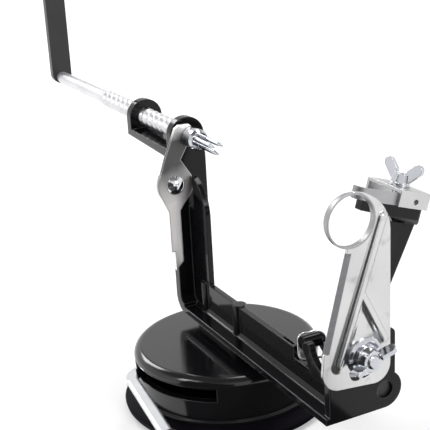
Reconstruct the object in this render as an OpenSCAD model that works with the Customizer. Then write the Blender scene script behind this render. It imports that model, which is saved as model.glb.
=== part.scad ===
// Hand-cranked apple peeler with a corer and slicer, on a suction base.
// Millimetres. The origin is the centre of the foot on the table.
// +X runs along the shaft from the crank to the slicer, +Y is the peeling arm's side, +Z is up.

/* [Base] */
// Diameter of the round base housing
base_d = 96; // [92:0.5:100]
// Height of the housing's top face above the table
base_top = 33; // [31:0.5:37]
// Draw-in of the housing's side from its top to its foot
base_taper = 1.4; // [0:0.1:2]
// Wall of the housing
base_wall = 3; // [2.5:0.5:4]
// Rounding of the housing's top edge
base_edge_r = 4.5; // [2:0.5:6]
// Width of the lip round the housing's lower edge
base_lip = 1.2; // [0.5:0.1:2]
// Diameter of the rubber foot on the table
foot_d = 109; // [106:1:116]
// Height of the rubber foot
foot_h = 7.5; // [6:0.5:8]
// Width of the foot's ring under the housing
foot_ring = 8; // [6:0.5:10]
// Rubber thickness of the suction diaphragm
diaphragm_t = 2; // [1.5:0.25:2.5]

/* [Suction lever] */
// Width of the lever's flat strip
lever_w = 6; // [5:0.5:7]
// Thickness of the lever's strip
lever_t = 2.2; // [1.5:0.1:3]
// Height of the middle of the lever above the table
lever_z = 23; // [22:0.5:23.5]
// Length of the lever's straight part
lever_reach = 78; // [60:1:90]
// Bend radius of the lever outside the housing
lever_bend_r = 11; // [10:0.5:12]
// Swing of the lever from locked to released, in degrees
lever_swing = 58; // [50:1:62]
// Lift of the suction plunger
plunger_lift = 2.5; // [1.5:0.25:3]
// Diameter of the plunger's stem
plunger_d = 8; // [6:0.5:9]

/* [Frame] */
// Width of the frame's outer flange
flange_w = 19.5; // [17:0.5:22]
// Thickness of the rail's flange
flange_t = 3.2; // [2.5:0.1:4]
// Thickness of the frame's middle web
web_t = 3; // [2.5:0.25:3.5]
// Height of the rail's underside above the table
rail_z = 38.5; // [37:0.5:42]
// Height of the rail's web above the table
web_top = 57.5; // [55:0.5:59]
// Front face of the post's flange
post_x = -33; // [-36:0.5:-31]
// Thickness of the post's flange and of the ears
ear_t = 5.2; // [4.4:0.1:6]
// Depth of the post's web in front of its flange
post_web = 19.5; // [17:0.5:22]
// Front face of the front wall
wall_x = 113.3; // [108:0.5:120]
// Thickness of the front wall
wall_t = 4; // [3:0.25:5]
// Height of the front wall's top above the table
wall_top = 76; // [74:0.5:82]
// Distance between the two bearing ears
ear_gap = 49; // [44:0.5:54]
// Radius of the ears' round tops
ear_r = 9.5; // [8.5:0.25:11]
// Height of the shaft's axis above the table
shaft_z = 135; // [130:0.5:140]
// Diameter of the two screw bosses on the rail
boss_d = 7; // [6:0.25:8]
// Distance between the two screw bosses
boss_gap = 36; // [30:1:40]
// Diameter of the base screws
screw_d = 4; // [3:0.25:4.5]

/* [Shaft] */
// Outer diameter of the coarse thread
thread_d = 9.7; // [8.5:0.1:10.5]
// Pitch of the coarse thread
thread_pitch = 7; // [5:0.25:8]
// Depth of the coarse thread
thread_depth = 1.8; // [1.2:0.1:2.2]
// Diameter of the plain rod behind the thread
rod_d = 7.8; // [6.5:0.1:8.5]
// Length of the plain rod
rod_len = 80; // [60:1:95]
// Running clearance of the shaft in its ears, on the radius
shaft_clear = 0.06; // [0.03:0.01:0.1]
// Forward travel of the shaft
shaft_travel = 118; // [104:1:127]
// Diameter of the fork's round collar
collar_d = 11; // [10:0.5:13]
// Length of the fork's collar
collar_len = 6; // [4:0.5:8]
// Diameter of each fork prong
prong_d = 2.2; // [1.8:0.1:2.4]
// Length of the fork's prongs
prong_len = 24; // [18:1:28]
// Radius of the circle that the prongs stand on, small enough for the corer's ring to take them
prong_circle = 2.6; // [2.4:0.1:2.7]

/* [Crank] */
// Distance from the shaft's axis to the knob's axis
crank_r = 80; // [60:1:95]
// Width of the crank's flat arm
crank_w = 13; // [11:0.5:16]
// Thickness of the crank's arm
crank_t = 5; // [4:0.25:6]
// Length of the crank's knob
knob_len = 52; // [40:1:62]
// Largest diameter of the knob
knob_d = 24; // [18:0.5:28]
// Diameter of the knob's spindle
spindle_d = 6; // [5:0.25:7]

/* [Latch] */
// Thickness of the latch's plate
latch_t = 2; // [1.5:0.1:2.5]
// Gap between the post and the latch, filled by the rivet's shoulder
latch_gap = 3; // [2.6:0.1:3.6]
// Distance of the latch's rivet below the shaft's axis
latch_drop = 24.2; // [23:0.2:26]
// Distance of the latch's rivet beside the shaft's axis
latch_side = 10.4; // [9.8:0.1:11]
// Radius of the latch's round lobe
latch_lobe_r = 10; // [9:0.25:11]
// Width of the latch's tail
latch_tail_w = 6.5; // [5.5:0.25:7]
// Length of the latch's tail below the rivet
latch_tail = 46.5; // [43:0.5:50]
// Diameter of the latch's rivet
rivet_d = 6; // [5:0.25:7]

/* [Peeling arm] */
// Distance of the arm's pivot beside the shaft's axis
pivot_y = 20.6; // [19.5:0.1:21.5]
// Height of the arm's pivot above the table
pivot_z = 47.2; // [46.8:0.1:48]
// Diameter of the arm's pivot pin
pivot_d = 8; // [6.5:0.25:8.5]
// Outer diameter of the arm's hub
hub_d = 15; // [13.5:0.25:15.5]
// Outward lean of the arm at rest, in degrees
arm_lean = 27; // [25:0.5:30]
// Length of the arm from its pivot to its head
arm_len = 72; // [66:0.5:78]
// Width of the arm's bar along the shaft's direction
arm_w = 12; // [10:0.5:13]
// Thickness of the arm's bar
arm_t = 5.3; // [4.5:0.1:6]
// Diameter of the arm's stop finger
finger_d = 6.8; // [6:0.1:7.4]
// Wire diameter of the arm's spring
spring_wire = 1; // [0.8:0.1:1.2]
// Turns of the arm's spring
spring_turns = 3; // [2:1:4]

/* [Peeling blade] */
// Height of the blade's strip
blade_h = 5.6; // [5:0.1:6.4]
// Thickness of the blade's strip
blade_t = 0.9; // [0.7:0.1:1.2]
// Sheet thickness of the clamp
clamp_t = 1.6; // [1.2:0.1:2]
// Length of the clamp along the head
clamp_len = 16.5; // [14:0.5:18]
// Diameter of the clamp's bolt
clamp_bolt_d = 5; // [4:0.25:6]

/* [Slicer] */
// Sheet thickness of the slicer's plate
slicer_t = 1.6; // [1.2:0.1:2]
// Height of the corer's axis below the shaft's axis at rest
slicer_low = 6.2; // [4:0.2:6.6]
// Sideways set of the slicer's plate from the shaft's axis
slicer_side = 2.8; // [1.6:0.2:3.4]
// Outer diameter of the corer's ring
ring_d = 23.4; // [22.4:0.2:24.4]
// Wall of the corer's ring
ring_t = 0.8; // [0.6:0.1:1.2]
// Length of the corer's ring behind the plate
ring_len = 1.2; // [0.8:0.2:3]
// Distance of the slicer's bolt beside the shaft's axis
bolt_y = 9; // [8:0.25:10]
// Height of the slicer's bolt above the table
bolt_z = 67; // [66:0.5:67.5]
// Diameter of the slicer's bolt
bolt_d = 6; // [5:0.25:6.5]

/* [Hidden] */
$fn = 48;

// Colours as the object shows them
enamel = "#141416";
rubber = "#2a2530";
plastic = "#1b1b1d";
steel = "#c8c9cc";
zinc = "#dfe1e4";
satin_black = "#242426";

// Clearances shared by fits
slip = 0.05;
fit_gap = 0.3;
slide_gap = 0.05;

// Base
base_r = base_d / 2;
foot_r = foot_d / 2;
base_low_r = base_r - base_taper;
base_in = base_top - base_wall;
foot_in_r = base_low_r - foot_ring;
tube_r = plunger_d / 2 + 3.4;
tube_end = lever_z - 8;
rotor_low = lever_z - 4.6;
rotor_r = 17;
ramp_r = 13.2;
ramp_low = lever_z - lever_t / 2 - 0.02;
pin_d = 3;
pin_z = ramp_low + plunger_lift + pin_d / 2 * 1.25 + fit_gap;
pin_len = 25;
lever_angle = -102;
slot_from = lever_angle - 6;
slot_to = lever_angle + lever_swing + 11;
slot_low = lever_z - lever_t / 2 - 1;
slot_top = min(lever_z + 5, base_in - 1.5);
boss_mid = -1;
boss_x = [boss_mid - boss_gap / 2, boss_mid + boss_gap / 2];

// Frame
post_rear = post_x - ear_t;
rear_ear_x = post_rear - ear_gap;
floor_z = shaft_z - ear_r - 2;
corner_r = 9;
web_front = post_x + post_web;
notch_x = 73;
lug_x = 80.9;
lug_w = 7;
lug_top = 64;
notch_z = 52;
low_web = 54.5;
wall_rear = wall_x - wall_t;
wall_left = -flange_w / 2 + 1.8;
wall_right = pivot_y + 5.3;
lobe_r = pivot_z - rail_z - 0.2;
boss_len = 6;
thread_r = thread_d / 2;

// Latch
latch_x = post_x + latch_gap;
latch_y = -latch_side;
latch_z = shaft_z - latch_drop;
tail_y = latch_y - 4.7;
nose_x = latch_x + latch_t / 2;

// Shaft, from the front face of its thread backwards; the thread outlasts the travel, to stay in the latch
thread_front = latch_x + latch_t + 0.4;
thread_len = shaft_travel + 6;
thread_rear = thread_front - thread_len;
rod_rear = thread_rear - rod_len;

// Peeling arm
hub_rear = 74;
hub_front = wall_rear - boss_len - fit_gap;
bar_front = 88;
head_x = 78.5;
head_depth = 23;
head_top = 6.2;
head_low = -1.8;
head_tilt = 9.5;
stud_u = -4.3;
head_left = -31;
head_front = head_x + head_depth / 2;
head_bevel = 2.6;
head_rise = 3.2;
blade_left = head_left + 1;
head_right = 4;
bar_set = -0.3;
finger_x = 76.9;
finger_z = pivot_z + 13.1;
finger_y = 0.6;

// Slicer
ring_z = shaft_z - slicer_low;
ring_r = ring_d / 2;
plate_x = wall_x + slide_gap;
plate_front = plate_x + slicer_t;
arch_r = 19.4;
edge_top = [-1.6, ring_z - ring_r - 0.1];
edge_low = [-14, bolt_z + 5];
edge_grind_w = 2.2;
edge_grind_depth = slicer_t * 0.8;
rib_height = 1.1;
rib_half = 2.3;
rib_r = (rib_half * rib_half + rib_height * rib_height) / (2 * rib_height);
rib_x = plate_front + rib_height - rib_r;
rib_top = [arch_r - 3.9, ring_z - 1.3];
rib_low = [-6.8, bolt_z - 0.8];
rib_fork = rib_low + 0.5 * (rib_top - rib_low);
rib_leg = [arch_r - 3.2, bolt_z + 6];
slicer_nut_h = 5.2;
washer_r = 8.6;
arch_z = ring_z + ring_r - arch_r;
slot_len = slicer_low + 0.5;
washer_t = 1.2;

// Extrudes a flat outline drawn in (Y, Z) along X
module along_x(from, to)
    translate([from, 0, 0]) rotate([90, 0, 90]) linear_extrude(to - from) children();

// Extrudes a flat outline drawn in (X, Z) along Y
module along_y(from, to)
    translate([0, to, 0]) rotate([90, 0, 0]) linear_extrude(to - from) children();

// Round bar along X
module bar_x(x0, x1, r, y = 0, z = 0)
    translate([x0, y, z]) rotate([0, 90, 0]) cylinder(h = x1 - x0, r = r);

// Round bar along Y
module bar_y(y0, y1, r, x = 0, z = 0)
    translate([x, y0, z]) rotate([-90, 0, 0]) cylinder(h = y1 - y0, r = r);

// Flat stadium between two points
module stadium(a, b, r) {
    d = b - a;
    translate(a) circle(r);
    translate(b) circle(r);
    translate(a) rotate(atan2(d[1], d[0])) translate([0, -r]) square([norm(d), 2 * r]);
}

// Rectangle from its lowest corner to its highest
module box2(a, b) translate(a) square(b - a);

// Places what rides on the arm's bar, with its height along the bar
module on_arm() translate([0, pivot_y, pivot_z]) rotate([-arm_lean, 0, 0]) children();

// Places what rides on the arm's head, in the head's own directions
module on_head() on_arm() translate([0, 0, arm_len]) rotate([head_tilt, 0, 0]) children();

function unit(v) = v / norm(v);
function flat_to(n, t) = unit(n - (n * t) * t);

// Ring of points round one point of a wire
function wire_ring(p, t, n, r, sides) =
    [for (k = [0:sides - 1]) p + r * (cos(360 * k / sides) * n + sin(360 * k / sides) * cross(t, n))];

function tangents(path) =
    [for (i = [0:len(path) - 1]) unit(path[min(i + 1, len(path) - 1)] - path[max(i - 1, 0)])];

// Normals carried along the wire without twist
function normals(ts, first) =
    [for (i = 0, n = flat_to(first, ts[0]); i < len(ts);
        i = i + 1, n = i < len(ts) ? flat_to(n, ts[i]) : n) n];

// Triangles between rings of points, closed at both ends
function tube_faces(rings, sides) = concat(
    [for (i = [0:rings - 2], k = [0:sides - 1], half = [0, 1])
        let (a = i * sides + k, b = i * sides + (k + 1) % sides)
        half == 0 ? [a, a + sides, b] : [b, a + sides, b + sides]],
    [for (k = [1:sides - 2]) [0, k, k + 1]],
    [for (k = [1:sides - 2], o = [(rings - 1) * sides]) [o, o + k + 1, o + k]]);

module wire(path, r, sides = 6) {
    ts = tangents(path);
    ns = normals(ts, [1, 0.2, 0.1]);
    rings = [for (i = [0:len(path) - 1]) wire_ring(path[i], ts[i], ns[i], r, sides)];
    polyhedron([for (ring = rings, p = ring) p], tube_faces(len(path), sides), convexity = 10);
}

// Smooth curve through a few points
function curve_at(a, b, c, d, t) =
    0.5 * (2 * b + (c - a) * t + (2 * a - 5 * b + 4 * c - d) * t * t + (3 * b - a - 3 * c + d) * t * t * t);
function curve(p, steps) = concat(
    [for (i = [0:len(p) - 2], s = [0:steps - 1])
        curve_at(p[max(i - 1, 0)], p[i], p[i + 1], p[min(i + 2, len(p) - 1)], s / steps)],
    [p[len(p) - 1]]);

// Least gap of a wire to itself, leaving out near neighbours along it
function self_gap(path, d, skip) =
    min([for (i = [0:len(path) - 1]) for (j = [i + skip:1:len(path) - 1]) norm(path[i] - path[j])]) - d;

// Base

module base_housing() color(enamel) difference() {
    union() {
        rotate_extrude($fn = 96) difference() {
            union() {
                polygon([[0, foot_h], [base_low_r, foot_h], [base_r, base_top - base_edge_r],
                    [base_r - base_edge_r, base_top], [0, base_top]]);
                translate([base_r - base_edge_r, base_top - base_edge_r]) circle(base_edge_r);
                box2([0, foot_h], [base_low_r + base_lip, foot_h + 2.4]);
            }
            box2([-1, foot_h - 1], [base_low_r - base_wall, base_in]);
        }
        translate([0, 0, tube_end]) cylinder(h = base_in - tube_end + slip, r = tube_r);
    }
    translate([0, 0, tube_end - 1]) cylinder(h = base_in - tube_end + 1, d = plunger_d + 2 * slip);
    translate([-pin_d / 2 - fit_gap, -tube_r - 1, tube_end - 1])
        cube([pin_d + 2 * fit_gap, 2 * tube_r + 2, base_in - tube_end + 1]);
    rotate([0, 0, slot_from]) rotate_extrude(angle = slot_to - slot_from, $fn = 96)
        box2([base_low_r - base_wall - 2, slot_low], [base_r + 3, slot_top]);
    for (x = boss_x) translate([x, 0, base_in - 1]) cylinder(h = base_wall + 2, d = screw_d + 2 * slip);
}

module suction_foot() color(rubber) rotate_extrude($fn = 96) polygon([
    [foot_in_r, 0.6], [foot_in_r + 1, 0], [foot_r - 3.6, 0], [foot_r - 1.6, 0.9], [foot_r - 0.5, 2.4],
    [foot_r, foot_h * 0.6], [foot_r - 0.7, foot_h * 0.8], [base_low_r + base_lip + 0.8, foot_h],
    [foot_in_r, foot_h]]);

// Thin rubber disc that the plunger draws up in its middle
module suction_diaphragm() color(rubber) rotate_extrude($fn = 96) {
    middle = plunger_foot_z() - 0.3;
    flat_r = 9.6;
    waist = [16, 8.2];
    rim = foot_h - 0.6;
    polygon([
        [0, middle], [flat_r, middle], waist, [foot_in_r - 1, rim], [foot_in_r - slip, rim],
        [foot_in_r - slip, rim - diaphragm_t], [foot_in_r - 2, rim - diaphragm_t],
        waist - [0, diaphragm_t], [flat_r, middle - diaphragm_t], [0, middle - diaphragm_t]]);
}

function plunger_foot_z() = tube_end - 2.3;

module suction_plunger() color(steel) difference() {
    plunger_top = pin_z + pin_d / 2 + 0.6;
    translate([0, 0, plunger_foot_z()]) {
        cylinder(h = 2, r = 9);
        cylinder(h = plunger_top - plunger_foot_z(), d = plunger_d);
    }
    bar_y(-plunger_d, plunger_d, pin_d / 2 + slip / 2, z = pin_z);
}

module plunger_pin() color(steel) bar_y(-pin_len / 2, pin_len / 2, pin_d / 2, z = pin_z);

// Turning cam under the pin, with two ramps of one slope
module lever_rotor() color(steel) {
    difference() {
        translate([0, 0, rotor_low]) cylinder(h = ramp_low - rotor_low, r = rotor_r);
        translate([0, 0, rotor_low - 1]) cylinder(h = 20, r = tube_r + 0.1);
    }
    for (side = [90, 270]) rotate([0, 0, side]) ramp();
}

// One ramp: under the pin it is high at rest, and low when the lever is released
module ramp() {
    steps = 8;
    from = -lever_swing - 14;
    to = 14;
    inner = tube_r + 1;
    base = (rotor_low + ramp_low) / 2;
    function rise(a) = ramp_low + plunger_lift * min(0, max(-1, a / lever_swing));
    pts = [for (i = [0:steps], c = [[inner, 0], [ramp_r, 0], [ramp_r, 1], [inner, 1]])
        let (a = from + (to - from) * i / steps)
        [c[0] * cos(a), c[0] * sin(a), c[1] == 0 ? base : rise(a) + plunger_lift]];
    polyhedron(pts, ramp_faces(steps), convexity = 6);
}

function ramp_faces(steps) = concat(
    [for (i = [0:steps - 1], k = [0:3], half = [0, 1])
        let (a = i * 4 + k, b = i * 4 + (k + 1) % 4)
        half == 0 ? [a, b, a + 4] : [b, b + 4, a + 4]],
    [[0, 2, 1], [0, 3, 2]],
    [for (k = [1, 2], last = [steps * 4]) [last, last + k, last + k + 1]]);

module rotor_clip() color(steel) difference() {
    translate([0, 0, rotor_low - 1.3]) cylinder(h = 1.2, r = tube_r + 3.5);
    translate([0, 0, rotor_low - 2]) cylinder(h = 3, r = tube_r + slip / 2);
}

lever_end_angle = -6.5;
bend_centre = [2.5, -42.5];
function bend_point(a) = bend_centre + lever_bend_r * [sin(a), -cos(a)];

module lever_outline() {
    start = bend_point(lever_angle);
    finish = bend_point(lever_end_angle);
    tip = finish + lever_reach * [cos(lever_end_angle), sin(lever_end_angle)];
    stadium(finish, tip, lever_w / 2);
    translate(bend_centre) rotate(lever_angle - 90) intersection() {
        difference() {
            circle(lever_bend_r + lever_w / 2);
            circle(lever_bend_r - lever_w / 2);
        }
        polygon([[0, 0], [40, 0], [40, 40], [-4, 40]]);
    }
    stadium(rotor_r * unit(start), start, lever_w / 2);
}

module suction_lever() color(zinc) difference() {
    translate([0, 0, lever_z - lever_t / 2]) linear_extrude(lever_t) lever_outline();
    translate([0, 0, lever_z - 5]) cylinder(h = 10, r = ramp_r + 1);
}

module lever_grip() color(plastic) {
    finish = bend_point(lever_end_angle);
    grip_r = (lever_w + 3.5) / 2;
    cover = 18;
    sleeve = cover + 4;
    translate([finish[0], finish[1], lever_z]) rotate([0, 0, lever_end_angle])
        translate([lever_reach - cover, 0, 0]) difference() {
            union() {
                bar_x(0, sleeve, grip_r);
                translate([sleeve, 0, 0]) rotate([0, 90, 0])
                    cylinder(h = 3, r1 = grip_r, r2 = lever_w / 2 - 1);
            }
            translate([-1, -lever_w / 2 - slip, -lever_t / 2 - slip])
                cube([1 + cover + lever_w / 2 + slip, lever_w + 2 * slip, lever_t + 2 * slip]);
        }
}

module base_screws() color(zinc) for (x = boss_x) translate([x, 0, 0]) difference() {
    union() {
        translate([0, 0, base_in - 2.4]) cylinder(h = 2.4, d = screw_d * 1.9);
        translate([0, 0, base_in - 1]) cylinder(h = web_top - 8 - base_in, d = screw_d);
    }
    translate([-0.5, -screw_d, base_in - 3]) cube([1, 2 * screw_d, 1.6]);
}

// Frame casting

module ear_outline() {
    translate([0, shaft_z]) circle(ear_r);
    box2([-ear_r, floor_z + 1.6], [ear_r, shaft_z]);
}

// Flange along the rail and up the post, with its rounded corner
module flange_outline() {
    box2([post_rear + corner_r, rail_z], [wall_x, rail_z + flange_t]);
    box2([post_rear, rail_z + corner_r], [post_x, floor_z + 1]);
    translate([post_rear + corner_r, rail_z + corner_r]) intersection() {
        difference() {
            circle(corner_r);
            circle(corner_r - ear_t);
        }
        box2([-corner_r, -corner_r], [0, 0]);
    }
}

// Middle web of the rail and the post, with the notch and lug of the arm's stop
module web_outline() {
    box2([post_x - 1, rail_z + 4], [notch_x, web_top]);
    box2([notch_x - 1, rail_z + 1], [wall_rear + 1, notch_z]);
    box2([lug_x + lug_w * 0.7, rail_z + 1], [wall_rear + 1, low_web]);
    lug_outline();
    box2([post_x - 1, web_top - 1], [web_front, shaft_z - 40]);
    intersection() {
        box2([post_x - 1, shaft_z - 41], [web_front, shaft_z - 12]);
        translate([post_x - 1, shaft_z - 40]) circle(post_web + 1);
    }
}

// Leaning lug in front of the arm's finger, with a round top and a flared foot
module lug_outline() {
    top = [lug_x + lug_w / 2, lug_top - lug_w / 2];
    translate(top) circle(lug_w / 2);
    polygon([top - [lug_w / 2 - 0.1, 0.8], top + [lug_w / 2, 0.1], top + [lug_w / 2 + 1.5, -2.1],
        [top[0] + 7.6, low_web + 1.5], [top[0] + 11, low_web - 0.1], [top[0] + 11, low_web - 2],
        [top[0] + 1.4, low_web - 2], [top[0] - 0.3, low_web + 0.9], [top[0] - 1.8, low_web + 2.6]]);
}

// Fillet between the web and the rail's flange
module web_foot_outline() {
    low = rail_z + flange_t - 0.2;
    polygon([[-web_t / 2 - 2, low], [web_t / 2 + 2, low], [web_t / 2 + 0.9, low + 0.9],
        [web_t / 2 - 0.2, low + 2.4], [-web_t / 2 + 0.2, low + 2.4], [-web_t / 2 - 0.9, low + 0.9]]);
}

module wall_outline() {
    box2([-flange_w / 2, rail_z], [pivot_y, rail_z + flange_t]);
    box2([wall_left, rail_z], [pivot_y, wall_top]);
    box2([0, rail_z + lobe_r], [wall_right - 3, wall_top]);
    box2([0, rail_z + lobe_r], [wall_right, wall_top - 3]);
    translate([wall_right - 3, wall_top - 3]) circle(3);
    translate([pivot_y, pivot_z]) circle(lobe_r + 0.2);
}

module frame_casting() color(enamel) difference() {
    union() {
        along_y(-flange_w / 2, flange_w / 2) flange_outline();
        along_y(-web_t / 2, web_t / 2) web_outline();
        along_x(wall_rear, wall_x) wall_outline();
        bar_x(wall_rear - boss_len, wall_rear + 1, hub_d / 2, pivot_y, pivot_z);
        along_x(post_rear, post_x) ear_outline();
        along_x(post_rear, post_x) stadium([latch_y, latch_z], [latch_y + 6, latch_z], rivet_d / 2 + 3);
        along_x(rear_ear_x - ear_t, rear_ear_x) ear_outline();
        along_y(-ear_r, ear_r) polygon([[rear_ear_x - ear_t, floor_z + 1.6], [post_x, floor_z - 0.8],
            [post_x, floor_z + 3.8], [rear_ear_x - ear_t, floor_z + 5.2]]);
        along_x(post_x - 0.5, wall_rear + 0.5) web_foot_outline();
        for (x = boss_x) translate([x, 0, rail_z]) cylinder(h = web_top - rail_z + 0.6, d = boss_d);
        translate([0, 0, base_top]) linear_extrude(rail_z - base_top + 1)
            stadium([boss_x[0], 0], [boss_x[1], 0], boss_d / 2 + 2.5);
    }
    bar_x(rear_ear_x - ear_t - 1, post_x + 1, thread_r + shaft_clear, z = shaft_z);
    bar_x(wall_rear - boss_len - 1, wall_x + 1, pivot_d / 2, pivot_y, pivot_z);
    bar_x(wall_rear - 1, wall_x + 1, bolt_d / 2 + slip, bolt_y, bolt_z);
    bar_x(post_rear - 1, post_x + 1, rivet_d / 2, latch_y, latch_z);
    for (x = boss_x) translate([x, 0, base_top - 1])
        cylinder(h = web_top - 8 - base_top + 1.5, d = screw_d + 2 * slip);
    along_y(-web_t, web_t) box2([post_x, latch_z - latch_lobe_r - 4], [latch_x + latch_t + 1, shaft_z]);
    along_y(-0.8, 0.8) box2([61.5, web_top - 2], [71, web_top + 1]);
}

// Shaft

function thread_at(a, x) =
    thread_r - thread_depth / 2 + thread_depth / 2 * cos(a - 360 * (x - nose_x) / thread_pitch);

module lead_screw() color(zinc) translate([0, 0, shaft_z]) {
    sides = 16;
    rings = ceil(8 * thread_len / thread_pitch) + 1;
    pts = [for (i = [0:rings - 1], k = [0:sides - 1])
        let (x = thread_rear + thread_len * i / (rings - 1), a = 360 * k / sides, r = thread_at(a, x))
        [x, r * cos(a), r * sin(a)]];
    polyhedron(pts, tube_faces(rings, sides), convexity = 10);
    bar_x(rod_rear, thread_rear, rod_d / 2);
    bar_x(rod_rear - crank_t, rod_rear, spigot_r());
    translate([rod_rear - crank_t, 0, 0]) rotate([0, -90, 0])
        cylinder(h = 1, r1 = spigot_r() + 1, r2 = spigot_r());
}

function spigot_r() = rod_d / 2 - 1;

module fork_collar() color(zinc) bar_x(thread_front, thread_front + collar_len, collar_d / 2, z = shaft_z);

module apple_fork() color(zinc) translate([thread_front + collar_len, 0, shaft_z]) rotate([0, 90, 0]) {
    cylinder(h = 2, d = collar_d);
    translate([0, 0, 2]) cylinder(h = 2, d1 = collar_d, d2 = collar_d - 2);
    for (k = [0:2]) rotate([0, 0, 120 * k]) translate([prong_circle, 0, 1]) {
        cylinder(h = prong_len - 5, d = prong_d);
        translate([0, 0, prong_len - 5]) cylinder(h = 5, d1 = prong_d, d2 = 0.5);
    }
}

crank_x0 = rod_rear - crank_t;

module crank_arm() color(satin_black) difference() {
    along_x(crank_x0, rod_rear) stadium([0, shaft_z + 2.5], [0, shaft_z + crank_r], crank_w / 2);
    bar_x(crank_x0 - 1, rod_rear + 1, spigot_r() + slip / 2, z = shaft_z);
    bar_x(crank_x0 - 1, rod_rear + 1, spindle_d / 2 - 1 + slip / 2, z = shaft_z + crank_r);
}

// Shouldered rivet that the knob turns on
module knob_spindle() color(zinc) translate([0, 0, shaft_z + crank_r]) {
    bar_x(crank_x0 - knob_len - 1, crank_x0, spindle_d / 2);
    bar_x(crank_x0, rod_rear, spindle_d / 2 - 1);
    translate([rod_rear, 0, 0]) rotate([0, 90, 0])
        cylinder(h = 1.2, r1 = spindle_d / 2 + 0.8, r2 = spindle_d / 2 - 0.6);
    bar_x(crank_x0 - knob_len - 2.4, crank_x0 - knob_len - 1, spindle_d / 2 + 2);
}

// Turned knob: a waist near the arm and a full round end
module crank_knob() color(plastic)
    translate([crank_x0 - 0.6, 0, shaft_z + crank_r]) rotate([0, -90, 0]) rotate_extrude() difference() {
        polygon([
            for (i = [0:12]) [knob_radius(i / 12), (knob_len - 0.8) * i / 12],
            [0, knob_len - 0.8], [0, 0]]);
        box2([-1, -1], [spindle_d / 2 + 0.1, knob_len + 1]);
    }

function knob_radius(t) = knob_d / 2 * (0.64 + 0.36 * sin(170 * pow(t, 0.75) + 2)) - (t > 0.95 ? 1.2 : 0);

// Latch

// Outline of the half-nut latch: bite, waist, round lobe, tail and narrow thumb end
module latch_outline() {
    bite = thread_r + 0.45;
    tail_end = latch_z - latch_tail;
    translate([latch_y, latch_z]) circle(latch_lobe_r);
    difference() {
        polygon([
            [latch_y - 8, latch_z + 6], [latch_y - 4.8, latch_z + 15], [latch_y + 1.6, shaft_z + 5.4],
            [latch_y + 4, shaft_z + bite + 1.6], [latch_y + 9.5, shaft_z + bite + 1.6],
            [latch_y + 11.6, shaft_z + bite - 0.6], [0, shaft_z],
            [-bite + 1.4, shaft_z - bite - 1], [latch_y + 3.6, latch_z + 13], [latch_y + 8, latch_z + 6]]);
        translate([0, shaft_z]) circle(bite);
    }
    box2([tail_y, latch_z - 36], [tail_y + latch_tail_w, latch_z]);
    polygon([[tail_y, latch_z - 14], [latch_y - 8.6, latch_z - 5], [latch_y + 8.6, latch_z - 5],
        [tail_y + latch_tail_w, latch_z - 14]]);
    polygon([[tail_y + 1.8, latch_z - 30], [tail_y + 2, tail_end], [tail_y + latch_tail_w, tail_end + 4.5],
        [tail_y + latch_tail_w, latch_z - 30]]);
}

module latch_lever() color(steel) difference() {
    union() {
        along_x(latch_x, latch_x + latch_t) latch_outline();
        latch_nose();
    }
    bar_x(latch_x - 1, latch_x + latch_t + 1, rivet_d / 2 + 0.06, latch_y, latch_z);
}

// Tooth of the half nut, standing in one groove of the thread
module latch_nose() {
    tip = thread_r - thread_depth + 0.35;
    root = thread_r + 1;
    translate([nose_x, 0, shaft_z - 1.6]) linear_extrude(3.2)
        polygon([[-latch_t / 2, -root], [latch_t / 2, -root], [0.6, -tip], [-0.6, -tip]]);
}

module latch_rivet() color(zinc) {
    bar_x(post_rear, latch_x + latch_t + 0.15, rivet_d / 2 - slip / 2, latch_y, latch_z);
    translate([latch_x + latch_t + 0.15, latch_y, latch_z]) rotate([0, 90, 0]) dome(5, 2.4);
    translate([post_rear, latch_y, latch_z]) rotate([0, -90, 0]) dome(4.6, 1.6);
}

// Flat dome of a given radius and height
module dome(r, h) rotate_extrude() intersection() {
    ball = (r * r + h * h) / (2 * h);
    translate([0, h - ball]) circle(ball, $fn = 96);
    box2([0, 0], [r, h]);
}

latch_wire = 0.9;
latch_coil_r = rivet_d / 2 + 1.9;
latch_coil_start = 250;
latch_coil_steps = 12;
latch_coil = [for (i = [0:latch_coil_steps])
    let (share = i / latch_coil_steps, a = latch_coil_start - 360 * share)
    [post_x + 0.75 + 1.5 * share, latch_y + latch_coil_r * cos(a), latch_z + latch_coil_r * sin(a)]];
latch_spring_path = concat(
    curve([
        [post_x + 0.75, latch_y + 6.6, latch_z - 7.4],
        [post_x + 0.75, latch_y + 4.4, latch_z - 7],
        [post_x + 0.75, latch_y + 1.4, latch_z - 6],
        latch_coil[0]], 2),
    [for (i = [1:latch_coil_steps]) latch_coil[i]],
    curve([
        latch_coil[latch_coil_steps] + [0.05, -1.2, 1],
        [post_x + 2.25, latch_y - 4.4, latch_z - 8],
        [post_x + 2.25, tail_y + 1, latch_z - 15],
        [post_x + 2.25, tail_y + 1.4, latch_z - 19]], 2));

module latch_spring() color(steel) wire(latch_spring_path, latch_wire / 2);

// Peeling arm

module arm_pivot_pin() color(satin_black)
    bar_x(hub_rear - 4, wall_x - 1.6, pivot_d / 2 - slip / 2, pivot_y, pivot_z);

module arm_clip() color(steel) difference() {
    bar_x(hub_rear - 1.6, hub_rear - 0.4, pivot_d / 2 + 3, pivot_y, pivot_z);
    bar_x(hub_rear - 2, hub_rear, pivot_d / 2, pivot_y, pivot_z);
}

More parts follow.
